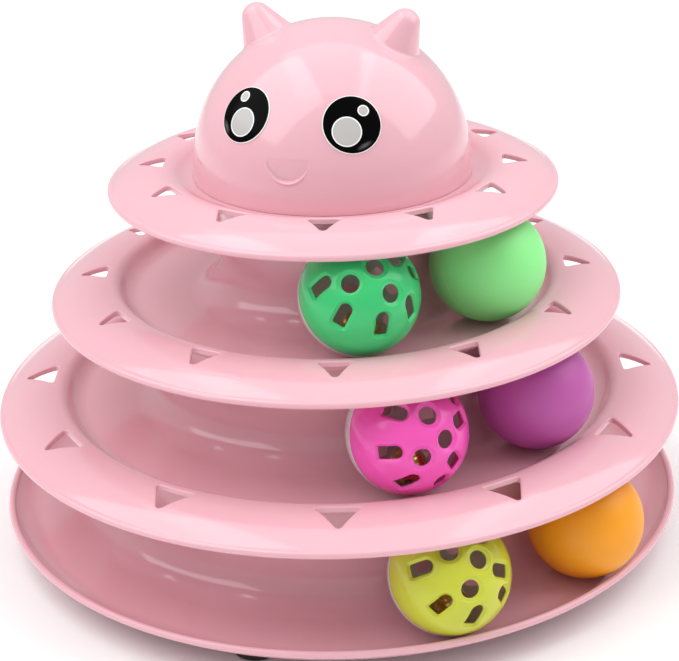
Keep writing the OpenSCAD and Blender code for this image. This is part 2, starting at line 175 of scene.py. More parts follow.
# Spots on each eye, as (across, up, radius), and the middle of its gleam
EYE_SPOTS = {
    -1: [(0.15, -2.75, 5.0), (-2.7, 5.85, 1.93)],
    1: [(-2.0, -2.35, 5.0), (4.2, 4.3, 1.93)],
}
EYE_GLEAMS = {-1: (-6.4, -5.45), 1: (3.5, -7.3)}
GLEAM_SIZE = (3.6, 1.1, 3.0)
MOUTH_R = 7.4
MOUTH_UP_ANGLE = 16.6
MOUTH_DEPTH = 1.3
MOUTH_LINE = 1.2
MOUTH_LINE_OUT = 0.45
MOUTH_LINE_SHARE = 0.5
# The raised line starts this far outside its crescent, and the recess this far outside its arc
MOUTH_LINE_START = 0.1
MOUTH_RECESS_START = 0.2
MOUTH_RECESS_EDGE = 0.5
# How far the recess reaches over the mouth's straight top
MOUTH_TOP = 0.3
EAR_H = 11.66
EAR_UP_ANGLE = 61.3
EAR_SIDE_ANGLE = 94.0
EAR_TIP_R = 5.3
EAR_ROOT_R = 9.8
EAR_FILLET_R = 2.0
EAR_SINK = 0.25

# Colours
PINK = (0.77, 0.425, 0.485)
PINK_WARM = (0.78, 0.433, 0.492)
LATTICE_COLORS = {
    "yellow": (0.61, 0.65, 0.05),
    "pink": (0.95, 0.10, 0.49),
    "emerald": (0.048, 0.60, 0.19),
}
LATTICE_WHITE = (0.85, 0.80, 0.79)
PLAIN_COLORS = {
    "orange": (0.93, 0.35, 0.001),
    "purple": (0.49, 0.089, 0.375),
    "green": (0.26, 0.84, 0.265),
}
BRASS = (0.83, 0.62, 0.25)
BRASS_DARK = (0.72, 0.5, 0.18)
STEEL = (0.6, 0.6, 0.61)
STEEL_DARK = (0.5, 0.5, 0.51)
RUBBER = (0.01, 0.01, 0.011)
RUBBER_WORN = (0.022, 0.022, 0.023)
EYE_BLACK = (0.002, 0.002, 0.0022)
EYE_GREY = (0.5, 0.485, 0.475)
EYE_WHITE = (0.93, 0.92, 0.915)
GLEAM_GREY = (0.1, 0.1, 0.1)
FLOOR_WHITE = (0.9, 0.9, 0.9)
FLOOR_WHITE_LIGHT = (0.91, 0.91, 0.91)

# Studio, in metres and watts: the floor's width, the sky, and each softbox as (place, size, power)
FLOOR_W = 12.0
SKY_STRENGTH = 0.6
SOFTBOXES = {
    "top_box": ((0, 0.15, 1.7), (1.6, 1.6), 7.5),
    "left_box": ((-0.85, -0.2, 1.2), (1.5, 1.4), 13.0),
    "right_box": ((0.95, 0.05, 1.05), (1.3, 1.3), 9.5),
}
SOFTBOX_TARGET = (0, 0, 0.1)

# Camera: place in metres, angles down, round and of roll, and focal length in the photograph's pixels
CAMERA_PLACE = (0, -0.5945, 0.3321)
CAMERA_ANGLES = (23.697, 0.082, -1.592)
SENSOR_W = 36.0
FOCAL_PX = 1756.0
PHOTO_W_PX = 679.0

# Steps round the tower, a whole number for each cut-out
SECTOR_STEPS = 24
ROUND_STEPS = CUT_COUNT * SECTOR_STEPS
# Steps along the tower's profiles and round its smaller pieces
RIM_STEPS = 6
LIP_STEPS = 20
LEDGE_STEPS = 10
BEND_STEPS = 14
FOOT_STEPS = 16
CORNER_STEPS = 8
BAND_ROWS = 12
EDGE_STEPS = 4
BOSS_STEPS = 48
STICKER_EDGE_STEPS = 3
SMALL_STEPS = 96
SEAM_STEPS = 12
HOLE_STEPS = 36
SLOT_CORNER_STEPS = 5
BALL_STEPS = 192
LATTICE_STEPS = 144
LATTICE_ROWS = 38
# A lattice row's points, as a share of the edge's steps over the same length, and the fewest in a row
ROW_FILL_SHARE = 0.9
ROW_FILL_LEAST = 6
# Angles between the dome's rows and columns, finer over the mouth
DOME_STEP = 1.5
MOUTH_ROW_STEP = 0.2
MOUTH_COLUMN_STEP = 0.3
MOUTH_ROWS_END = 19.0
MOUTH_COLUMNS_END = 12.0
# Edges sharper than these angles stay crisp
SHARP_ANGLE = 40.0
CRISP_ANGLE = 50.0
SOFT_ANGLE = 60.0
# Points closer than WELD are one point, and an edge shorter than SLIVER is taken out
WELD = 0.004
SLIVER = 0.002


def unit(v):
    v = np.asarray(v, float)
    return v / np.linalg.norm(v)


def arc(centre, r, start, end, steps=12):
    """Points on an arc, angles in degrees."""
    a = np.radians(np.linspace(start, end, steps + 1))
    return np.column_stack([centre[0] + r * np.cos(a), centre[1] + r * np.sin(a)])


def mesh_object(name, points, faces, sharp_angle=SHARP_ANGLE):
    """A mesh piece from points in millimetres; loose copies of a point are welded."""
    mesh = bpy.data.meshes.new(name)
    mesh.from_pydata([tuple(p) for p in np.asarray(points) * MM], [], faces)
    mesh.update()
    work = bmesh.new()
    work.from_mesh(mesh)
    bmesh.ops.remove_doubles(work, verts=work.verts, dist=WELD * MM)
    bmesh.ops.dissolve_degenerate(work, dist=SLIVER * MM, edges=work.edges)
    loose = [v for v in work.verts if not v.link_faces]
    bmesh.ops.delete(work, geom=loose, context="VERTS")
    bmesh.ops.recalc_face_normals(work, faces=work.faces)
    work.to_mesh(mesh)
    work.free()
    mesh.shade_smooth()
    mesh.set_sharp_from_angle(angle=math.radians(sharp_angle))
    piece = bpy.data.objects.new(name, mesh)
    bpy.context.scene.collection.objects.link(piece)
    return piece


def turn_z(degrees):
    return np.array(Matrix.Rotation(math.radians(degrees), 3, "Z"))


def turn_y(degrees):
    return np.array(Matrix.Rotation(math.radians(degrees), 3, "Y"))


def turn_x(degrees):
    return np.array(Matrix.Rotation(math.radians(degrees), 3, "X"))


def grid_quads(rows, columns):
    """Quads over a grid of points whose rows each close on themselves."""
    quads = []
    for low in range(0, (rows - 1) * columns, columns):
        high = low + columns
        for k in range(columns):
            after = (k + 1) % columns
            quads.append((low + k, low + after, high + after, high + k))
    return quads


class Soup:
    """Points and faces collected from several surfaces before they are welded."""

    def __init__(self):
        self.points = []
        self.faces = []

    def add(self, points, faces):
        first = len(self.points)
        self.points.extend(np.asarray(points, float).tolist())
        self.faces.extend([tuple(first + i for i in f) for f in faces])

    def strip(self, ring_a, ring_b):
        """Quads between two closed rings of as many points."""
        n = len(ring_a)
        quads = [(i, (i + 1) % n, n + (i + 1) % n, n + i) for i in range(n)]
        self.add(np.vstack([ring_a, ring_b]), quads)

    def revolve(self, line, turn=0.0, steps=ROUND_STEPS):
        """A line of (r, z) points turned round the z axis."""
        a = np.radians(turn + 360.0 * np.arange(steps) / steps)
        line = np.asarray(line, float)
        r, z = line[:, 0][:, None], line[:, 1][:, None]
        grid = np.stack([r * np.sin(a), -r * np.cos(a), z + 0 * a], axis=2)
        self.add(grid.reshape(-1, 3), grid_quads(len(line), steps))


def inside(points, loop):
    """Which 2D points lie inside a closed loop."""
    x, y = points[:, 0], points[:, 1]
    result = np.zeros(len(points), bool)
    for (x0, y0), (x1, y1) in zip(loop, np.roll(loop, -1, axis=0)):
        crosses = (y0 > y) != (y1 > y)
        level = np.where(y1 == y0, 1.0, y1 - y0)
        result ^= crosses & (x < (x1 - x0) * (y - y0) / level + x0)
    return result


def punched(outer, holes, fill, keep_off):
    """Triangles over a flat region inside a loop, with holes.

    Fill points inside a hole, or nearer to it than keep_off, are dropped.
    """
    fill = np.asarray(fill, float)
    for hole in holes:
        distances = np.linalg.norm(fill[:, None, :] - hole[None, :, :], axis=2)
        near = np.min(distances, axis=1) < keep_off
        fill = fill[~(near | inside(fill, hole))]
    points, edges = [], []
    for loop in [outer] + list(holes):
        first = len(points)
        points.extend(loop.tolist())
        edges.extend([(first + i, first + (i + 1) % len(loop)) for i in range(len(loop))])
    points.extend(fill.tolist())
    made = delaunay_2d_cdt([Vector(p) for p in points], edges, [], 0, 1e-7)
    flat = np.array([tuple(p) for p in made[0]])
    faces = np.array([f for f in made[2] if len(f) == 3])
    middle = flat[faces].mean(axis=1)
    keep = inside(middle, outer)
    for hole in holes:
        keep &= ~inside(middle, hole)
    return flat, [tuple(f) for f in faces[keep]]


def lip_arc(lip, along):
    """Round a lip, from the top side of the wall that leaves it along an angle to the under side."""
    join = math.degrees(math.asin(HALF_WALL / LIP_R))
    return arc(lip, LIP_R, along - join, along - 360 + join, LIP_STEPS)


# Profiles of the trays are lines of (r, z) points. A gap of HALF_WALL gives a wall's top side, and
# -HALF_WALL its under side.
class Brim:
    """A brim's arcs, from its rim to its groove's floor."""

    def __init__(self, rim_r, rim_z, floor_mid, ledge_w, shoulder_r, slope, groove_r):
        self.lip = np.array([rim_r - LIP_R, rim_z])
        self.shoulder_r = shoulder_r
        self.r = (BRIM_RUN**2 + BRIM_RISE**2) / (2 * BRIM_RISE)
        self.centre = self.lip + [-BRIM_RUN, BRIM_RISE - self.r]
        self.start = math.degrees(math.atan2(self.r - BRIM_RISE, BRIM_RUN))
        self.ledge_end = 90 + math.degrees(math.asin(ledge_w / self.r))
        self.slope = slope
        self.groove_r = groove_r
        turn = math.radians(self.ledge_end)
        self.bend = self.centre + (self.r - shoulder_r) * np.array([math.cos(turn), math.sin(turn)])
        lean = math.radians(90 + slope)
        edge = self.bend + shoulder_r * np.array([math.cos(lean), math.sin(lean)])
        drop = edge[1] - floor_mid - groove_r * (1 - math.cos(math.radians(slope)))
        run = drop / math.tan(math.radians(slope)) + groove_r * math.sin(math.radians(slope))
        self.groove = np.array([edge[0] - run, floor_mid + groove_r])

    def ledge_end_r(self, gap):
        return self.centre[0] + (self.r + gap) * math.cos(math.radians(self.ledge_end))

    def z_at(self, r, gap):
        """Height of the ledge, or of the shoulder inside it."""
        r = np.asarray(r)
        ledge = self.centre[1] + np.sqrt((self.r + gap) ** 2 - (r - self.centre[0]) ** 2)
        shoulder_reach = np.maximum((self.shoulder_r + gap) ** 2 - (r - self.bend[0]) ** 2, 0)
        return np.where(r < self.ledge_end_r(gap), self.bend[1] + np.sqrt(shoulder_reach), ledge)

    def angle_at(self, r, gap):
        return math.degrees(math.acos((r - self.centre[0]) / (self.r + gap)))

    def outer(self, gap, band_r):
        """From the lip to the band of cut-outs."""
        first = self.start + math.degrees(LIP_JOIN_SHARE * LIP_R / self.r)
        return arc(self.centre, self.r + gap, first, self.angle_at(band_r, gap), RIM_STEPS)

    def inner(self, gap, band_r):
        """From the band of cut-outs to the groove's floor."""
        parts = []
        shoulder_r = self.shoulder_r + gap
        if band_r > self.ledge_end_r(gap):
            shoulder_start = self.ledge_end
            ledge_start = self.angle_at(band_r, gap)
            parts.append(arc(self.centre, self.r + gap, ledge_start, shoulder_start, LEDGE_STEPS)[:-1])
        else:
            shoulder_start = math.degrees(math.acos((band_r - self.bend[0]) / shoulder_r))
        parts.append(arc(self.bend, shoulder_r, shoulder_start, 90 + self.slope, BEND_STEPS))
        parts.append(arc(self.groove, self.groove_r - gap, self.slope - 90, -90, BEND_STEPS))
        return np.vstack(parts)

    def lip_line(self):
        return lip_arc(self.lip, self.start + 90)


def step_side(foot_r, floor_mid, top_mid, foot_bend, top_bend, gap):
    """One side of a round step up, as step_line in the part's source."""
    d = math.radians(DRAFT)
    foot = np.array([foot_r + foot_bend, floor_mid + foot_bend])
    wall_foot = foot - foot_bend * np.array([math.cos(d), math.sin(d)])
    wall_top_z = top_mid - top_bend + top_bend * math.sin(d)
    wall_top_r = wall_foot[0] - (wall_top_z - wall_foot[1]) * math.tan(d)
    top = (wall_top_r - top_bend * math.cos(d), top_mid - top_bend)
    return np.vstack([
        arc(foot, foot_bend - gap, -90, DRAFT - 180, FOOT_STEPS),
        arc(top, top_bend + gap, DRAFT, 90, CORNER_STEPS),
    ])


def hub_side(hub_r, floor_mid, hub_mid, spigot_r, gap):
    """One side of a hub with a closed spigot on it."""
    top_mid = hub_mid + SPIGOT_H
    return np.vstack([
        step_side(hub_r - HALF_WALL, floor_mid, hub_mid, FOOT_BEND_R, HUB_BEND_R, gap),
        step_side(spigot_r - HALF_WALL, hub_mid, top_mid, SPIGOT_BEND_R, SPIGOT_BEND_R, gap),
        [[0, top_mid + gap]],
    ])


def cut_loop(rim_r, size, grow):
    """A cut-out's outline seen from above, (across, r), grown outward by a length."""
    length, width = size
    base = rim_r - CUT_BASE_IN
    rake = math.degrees(math.atan2(width / 2, length))
    inset = CUT_CORNER_R / math.tan(math.radians(45 - rake / 2))
    nose = (0, base + length - CUT_TIP_R / math.sin(math.radians(rake)))
    side = (width / 2 - inset, base + CUT_CORNER_R)
    corner, tip = CUT_CORNER_R + grow, CUT_TIP_R + grow
    arcs = [
        arc(nose, tip, 180 - rake, rake, CORNER_STEPS),
        arc(side, corner, rake, -90, CORNER_STEPS),
        arc((-side[0], side[1]), corner, -90, -180 - rake, CORNER_STEPS),
    ]
    parts = []
    for this, after in zip(arcs, arcs[1:] + arcs[:1]):
        parts += [this, np.linspace(this[-1], after[0], CORNER_STEPS + 1)[1:-1]]
    return np.vstack(parts)


def cut_sector(brim, rim_r, size, band):
    """One cut-out in its sector of the brim's band, which faces -Y."""
    half = math.pi / CUT_COUNT
    middle_r = sum(band) / 2
    rows = np.linspace(band[0], band[1], BAND_ROWS)
    columns = np.linspace(-half, half, SECTOR_STEPS + 1)
    edge = [(c, rows[0]) for c in columns] + [(half, r) for r in rows[1:-1]]
    edge += [(c, rows[-1]) for c in columns[::-1]] + [(-half, r) for r in rows[-2:0:-1]]
    outer = np.array([(c * middle_r, r) for c, r in edge])
    fill = [(c * middle_r, r) for c in columns[1:-1] for r in rows[1:-1]]
    sector = Soup()
    for gap in (HALF_WALL, -HALF_WALL):
        loop = cut_loop(rim_r, size, CUT_EDGE_RS[gap])
        turn_of = np.arctan2(loop[:, 0], loop[:, 1])
        hole = np.column_stack([turn_of * middle_r, np.hypot(loop[:, 0], loop[:, 1])])
        flat, faces = punched(outer, [hole], fill, FILL_CLEAR)
        turn_at, reach = flat[:, 0] / middle_r, flat[:, 1]
        x, y = reach * np.sin(turn_at), -reach * np.cos(turn_at)
        sector.add(np.column_stack([x, y, brim.z_at(reach, gap)]), faces)
    rings = []
    for gap, sign in ((HALF_WALL, 1), (-HALF_WALL, -1)):
        edge_r = CUT_EDGE_RS[gap]
        part = []
        for lean in np.radians(np.linspace(0, 90, EDGE_STEPS + 1)):
            loop = cut_loop(rim_r, size, edge_r * (1 - math.sin(lean)))
            reach = np.hypot(loop[:, 0], loop[:, 1])
            z = brim.z_at(reach, gap) - sign * edge_r * (1 - math.cos(lean))
            part.append(np.column_stack([loop[:, 0], -loop[:, 1], z]))
        rings += part if sign > 0 else part[::-1]
    for a, b in zip(rings[:-1], rings[1:]):
        sector.strip(a, b)
    return sector


def brim_tray_soup(name, rim_r, rim_z, floor_mid, bends, inner_lines, turn):
    """A tray with a cut brim.

    inner_lines are its top and under sides, from the groove's floor to the axis.
    """
    brim = Brim(rim_r, rim_z, floor_mid, *bends)
    size = CUT_SIZES[name]
    base_r = rim_r - CUT_BASE_IN
    band = (base_r + size[0] + CUT_BAND_OUT, base_r - CUT_BAND_IN)
    soup = Soup()
    for gap, inner_line in zip((HALF_WALL, -HALF_WALL), inner_lines):
        soup.revolve(np.vstack([brim.inner(gap, band[1]), inner_line]), turn)
    top, under = brim.outer(HALF_WALL, band[0]), brim.outer(-HALF_WALL, band[0])
    soup.revolve(np.vstack([top[::-1], brim.lip_line(), under]), turn)
    sector = cut_sector(brim, rim_r, size, band)
    points = np.array(sector.points)
    for i in range(CUT_COUNT):
        soup.add(points @ turn_z(turn + 360.0 * i / CUT_COUNT).T, sector.faces)
    return soup


def sided(make, *args):
    """Top and under sides of a line that make builds."""
    return [make(*args, gap) for gap in (HALF_WALL, -HALF_WALL)]


def box_mm(node):
    low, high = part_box(node)
    return np.array(low) / MM, np.array(high) / MM


# Heights and radii that the frame gives
lower_low, lower_high = box_mm("lower_tray")
middle_low, middle_high = box_mm("middle_tray")
top_low, top_high = box_mm("top_tray")
base_high = box_mm("base_tray")[1]
lower_rim_z = lower_low[2] + WALL - GROOVE_LIFT
middle_rim_z = middle_low[2] + WALL - GROOVE_LIFT
top_rim_z = top_low[2] + LIP_R
seat_z = top_rim_z + SEAT_UP
dome_z = top_rim_z + DOME_UP
lean_share = math.tan(math.radians(DRAFT))
spigot_in = WALL + SPIGOT_CLEAR - lean_share * (WALL + FOOT_BEND_R - SPIGOT_BEND_R)
base_floor_mid = BASE_RIM_Z - BASE_DIP - HALF_WALL
lower_floor_mid = lower_rim_z + GROOVE_LIFT - HALF_WALL
middle_floor_mid = middle_rim_z + GROOVE_LIFT - HALF_WALL
seat_mid = seat_z - HALF_WALL
plate_mid = seat_mid + RING_H
DOME_CENTRE = np.array([0, 0, dome_z])


def base_tray():
    rim_r = base_high[0]
    rise = BASE_RIM_Z - base_floor_mid
    r = (BASE_WALL_RUN**2 + rise**2) / (2 * rise)
    lip = np.array([rim_r - LIP_R, BASE_RIM_Z])
    centre = (lip[0] - BASE_WALL_RUN, base_floor_mid + r)
    start = -math.degrees(math.acos(BASE_WALL_RUN / r))
    first = start - math.degrees(LIP_JOIN_SHARE * LIP_R / r)
    hub_mid = lower_floor_mid - WALL
    soup = Soup()
    lines = []
    for gap in (HALF_WALL, -HALF_WALL):
        hub = hub_side(BASE_HUB_R, base_floor_mid, hub_mid, LOWER_HUB_R - spigot_in, gap)
        lines.append(np.vstack([arc(centre, r - gap, first, -90, FOOT_STEPS), hub]))
    soup.revolve(np.vstack([lines[0][::-1], lip_arc(lip, start - 90), lines[1]]))
    for i in range(FOOT_COUNT):
        a = math.radians(FOOT_ANGLE + 360 * i / FOOT_COUNT)
        middle = FOOT_PLACE_R * np.array([math.sin(a), -math.cos(a)])
        ring = arc(middle, BOSS_R, 0, 360, BOSS_STEPS)[:-1]
        low = np.column_stack([ring, np.full(BOSS_STEPS, PAD_T)])
        high = np.column_stack([ring, np.full(BOSS_STEPS, base_floor_mid)])
        soup.strip(low, high)
        soup.add(low, [tuple(range(BOSS_STEPS))])
        soup.add(high, [tuple(range(BOSS_STEPS))])
    return mesh_object("base_tray_shell", soup.points, soup.faces)


def lower_tray():
    hub_mid = middle_floor_mid - WALL
    lines = sided(hub_side, LOWER_HUB_R, lower_floor_mid, hub_mid, MIDDLE_HUB_R - spigot_in)
    soup = brim_tray_soup(
        "lower_tray", lower_high[0], lower_rim_z, lower_floor_mid, GROOVE_BENDS, lines, CUT_ANGLE
    )
    return mesh_object("lower_tray_shell", soup.points, soup.faces)


def middle_tray():
    lines = sided(hub_side, MIDDLE_HUB_R, middle_floor_mid, plate_mid - WALL, TOP_SPIGOT_R)
    soup = brim_tray_soup(
        "middle_tray", middle_high[0], middle_rim_z, middle_floor_mid, GROOVE_BENDS, lines, CUT_ANGLE
    )
    return mesh_object("middle_tray_shell", soup.points, soup.faces)


def top_tray():
    ring_r = DOME_R - DOME_WALL - HEAD_CLEAR
    sleeve_r = TOP_SPIGOT_R + WALL + SPIGOT_CLEAR - lean_share * WALL
    cap_mid = plate_mid + SPIGOT_H + SPIGOT_CLEAR
    ring_foot_r = HALF_WALL + HEAD_CLEAR / 2
    lines = []
    for gap in (HALF_WALL, -HALF_WALL):
        lines.append(np.vstack([
            step_side(ring_r - HALF_WALL, seat_mid, plate_mid, ring_foot_r, SPIGOT_BEND_R, gap),
            step_side(sleeve_r - HALF_WALL, plate_mid, cap_mid, SPIGOT_BEND_R, SPIGOT_BEND_R, gap),
            [[0, cap_mid + gap]],
        ]))
    soup = brim_tray_soup("top_tray", top_high[0], top_rim_z, seat_mid, SEAT_BENDS, lines, TOP_CUT_ANGLE)
    return mesh_object("top_tray_shell", soup.points, soup.faces)


def dome_axes(turn, up):
    """Axes at a place on the dome: across, up along the dome, and out of it."""
    return turn_z(FACE_ANGLE + turn) @ turn_x(90 - up)


def smooth_step(x):
    x = np.clip(x, 0, 1)
    return x * x * (3 - 2 * x)


def mouth_relief(directions):
    """How far the dome's skin stands out or sinks at directions from its centre, for the mouth."""
    axes = dome_axes(MOUTH_SIDE_ANGLE, MOUTH_UP_ANGLE)
    local = directions @ axes
    x, y = DOME_R * local[:, 0], DOME_R * local[:, 1]
    front = local[:, 2] > 0
    in_arc = MOUTH_R - np.hypot(x, y)
    in_crescent = np.minimum(MOUTH_R - np.hypot(x, y + MOUTH_LINE), -in_arc)
    rise = (in_crescent + MOUTH_LINE_START) / (MOUTH_LINE_SHARE * MOUTH_LINE)
    line = MOUTH_LINE_OUT * smooth_step(rise) * smooth_step(-y)
    # The recess deepens from its soft top edge to its crisp lower arc
    edge = smooth_step((in_arc + MOUTH_RECESS_START) / MOUTH_RECESS_EDGE)
    sunk = -MOUTH_DEPTH * edge * np.clip((MOUTH_TOP - y) / MOUTH_R, 0, 1)
    return np.where(front & (y < MOUTH_TOP), line + sunk, 0.0)


def dense_between(low, high, coarse, dense_low, dense_high, dense):
    """Rising values, closer together between two of them."""
    parts = [
        np.arange(low, dense_low, coarse),
        np.arange(dense_low, dense_high, dense),
        np.arange(dense_high, high + coarse / 2, coarse),
    ]
    return np.concatenate(parts)


def cat_head():
    soup = Soup()
    ups = dense_between(FLARE_ANGLE, 90.0, DOME_STEP, FLARE_ANGLE, MOUTH_ROWS_END, MOUTH_ROW_STEP)
    ups[-1] = 90.0
    turns = FACE_ANGLE + dense_between(
        -180.0, 180.0 - DOME_STEP, DOME_STEP, -MOUTH_COLUMNS_END, MOUTH_COLUMNS_END, MOUTH_COLUMN_STEP
    )
    a, e = np.radians(turns)[None, :], np.radians(ups)[:, None]
    directions = np.stack([np.cos(e) * np.sin(a), -np.cos(e) * np.cos(a), np.sin(e) + 0 * a], axis=2)
    flat = directions.reshape(-1, 3)
    outer = flat * (DOME_R + mouth_relief(flat))[:, None] + DOME_CENTRE
    columns = len(turns)
    quads = grid_quads(len(ups), columns)
    soup.add(outer, quads)
    soup.add(flat * (DOME_R - DOME_WALL) + DOME_CENTRE, quads)
    sin_a, cos_a = np.sin(a[0]), np.cos(a[0])

    def ring(r, z):
        return np.column_stack([r * sin_a, -r * cos_a, np.full(columns, z)])

    flare = math.radians(FLARE_ANGLE)

    def flared(r, z):
        """The radius of the flaring foot at a height, where its dome has radius r."""
        return r * math.cos(flare) + (r * math.sin(flare) + dome_z - z) * math.tan(flare)

    line = []
    for r in (DOME_R, DOME_R - DOME_WALL):
        top = dome_z + r * math.sin(flare)
        low = seat_z + (FOOT_EDGE_R if r == DOME_R else 0.0)
        side = [(flared(r, z), z) for z in np.linspace(top, low, RIM_STEPS)]
        line += side if r == DOME_R else side[::-1]
        if r == DOME_R:
            foot_r = flared(r, low)
            foot = (foot_r - FOOT_EDGE_R, low)
            line += arc(foot, FOOT_EDGE_R, 0, -90, EDGE_STEPS)[1:].tolist()
    rings = [ring(r, z) for r, z in line]
    for lower, upper in zip(rings[:-1], rings[1:]):
        soup.strip(lower, upper)
    return mesh_object("cat_head_dome", soup.points, soup.faces, CRISP_ANGLE)


def ear(name, side):
    """A round-tipped cone that blends into the dome through a fillet."""
    axes = dome_axes(side * EAR_SIDE_ANGLE, EAR_UP_ANGLE)
    tip = DOME_R + EAR_H - EAR_TIP_R
    root = np.array([EAR_ROOT_R, DOME_R - DOME_WALL])
    to_root = root - [0, tip]
    touch = math.atan2(to_root[1], to_root[0]) + math.acos(EAR_TIP_R / np.linalg.norm(to_root))
    cap = arc((0, tip), EAR_TIP_R, math.degrees(touch), 90, FOOT_STEPS)
    along = unit(cap[0] - root)
    # The fillet's centre lies one fillet radius off both the cone's side and the dome
    away = np.array([along[1], -along[0]])
    reach = DOME_R + EAR_FILLET_R
    base = root + away * EAR_FILLET_R
    b = base @ along
    t = -b + math.sqrt(b * b - base @ base + reach * reach)
    centre = base + t * along
    on_cone = centre - away * EAR_FILLET_R
    low = math.degrees(math.atan2(-centre[1], -centre[0]))
    high = math.degrees(math.atan2(on_cone[1] - centre[1], on_cone[0] - centre[0]))
    low = low if low < 0 else low - 360
    high = high if high < low + 180 else high - 360
    fillet = arc(centre, EAR_FILLET_R, low, high)
    skirt = fillet[0] * (DOME_R - EAR_SINK) / np.linalg.norm(fillet[0])
    side_line = np.linspace(fillet[-1], cap[0], RIM_STEPS)[1:-1]
    soup = Soup()
    soup.revolve(np.vstack([[skirt], fillet, side_line, cap]), steps=SMALL_STEPS)
    points = np.array(soup.points) @ axes.T + DOME_CENTRE
    return mesh_object(name, points, soup.faces, SOFT_ANGLE)


def eye_axes(side):
    return dome_axes(side * EYE_SIDE_ANGLE, EYE_UP_ANGLES[side])


def sticker(name, side, r, lift, thickness, across=0.0, up=0.0):
    """A thin round disc that follows the dome, lifted off it, centred off an eye's middle."""
    axes = eye_axes(side)
    edge = min(STICKER_EDGE_R, thickness / 2)
    rings = [(s * (r - edge), thickness) for s in np.linspace(0, 1, BEND_STEPS)]
    rings += arc((r - edge, thickness - edge), edge, 60, 0, STICKER_EDGE_STEPS).tolist()
    rings += [(r, 0.0), (0.0, 0.0)]
    turns = np.radians(np.arange(SMALL_STEPS) * 360 / SMALL_STEPS)
    soup = Soup()
    made = []
    for ring_r, height in rings:
        x = across + ring_r * np.cos(turns)
        y = up + ring_r * np.sin(turns)
        rho = DOME_R + lift + height
        local = np.column_stack([x, y, np.sqrt(rho**2 - x**2 - y**2)])
        made.append(local @ axes.T + DOME_CENTRE)
    for a, b in zip(made[:-1], made[1:]):
        soup.strip(a, b)
    return mesh_object(name, soup.points, soup.faces, CRISP_ANGLE)


def slot_loop(grow):
    """A slot's outline in its own plane: flat on +X, round on -X."""
    end = (SLOT_W - SLOT_L) / 2
    corner = SLOT_L / 2 - SLOT_CORNER_R
    side = SLOT_W / 2 - SLOT_CORNER_R
    c, r = SLOT_CORNER_R + grow, SLOT_W / 2 + grow
    along = np.linspace(corner, end, RIM_STEPS)[1:-1]
    across = np.linspace(-side, side, RIM_STEPS)[1:-1]
    top_edge = np.column_stack([along, np.full(len(along), side + c)])
    flat = np.column_stack([np.full(len(across), corner + c), across])
    return np.vstack([
        flat,
        arc((corner, side), c, 0, 90, SLOT_CORNER_STEPS),
        top_edge,
        arc((end, 0), r, 90, 270, HOLE_STEPS // 2),
        (top_edge * [1, -1])[::-1],
        arc((corner, -side), c, -90, 0, SLOT_CORNER_STEPS),
    ])


def hole_loop(grow):
    return arc((0, 0), HOLE_R + grow, 0, 360, HOLE_STEPS)[:-1]


def bevel_rings(bevel):
    """How an opening grows with depth: (growth, depth) at its edge, bevel, wall and inner edge."""
    edge = [(bevel + BEVEL_EDGE_R * s, BEVEL_EDGE_R * (1 - s) ** 2) for s in (1.0, 0.6, 0.3, 0.0)]
    middle = [(bevel / 2, (BEVEL_EDGE_R + BEVEL_DEPTH) / 2)]
    wall = [(grow, BEVEL_DEPTH + depth) for grow, depth in BEVEL_FOOT]
    inner = arc((INNER_EDGE_R, BALL_WALL - INNER_EDGE_R), INNER_EDGE_R, 180, 90, EDGE_STEPS)
    return edge + middle + wall + inner.tolist()


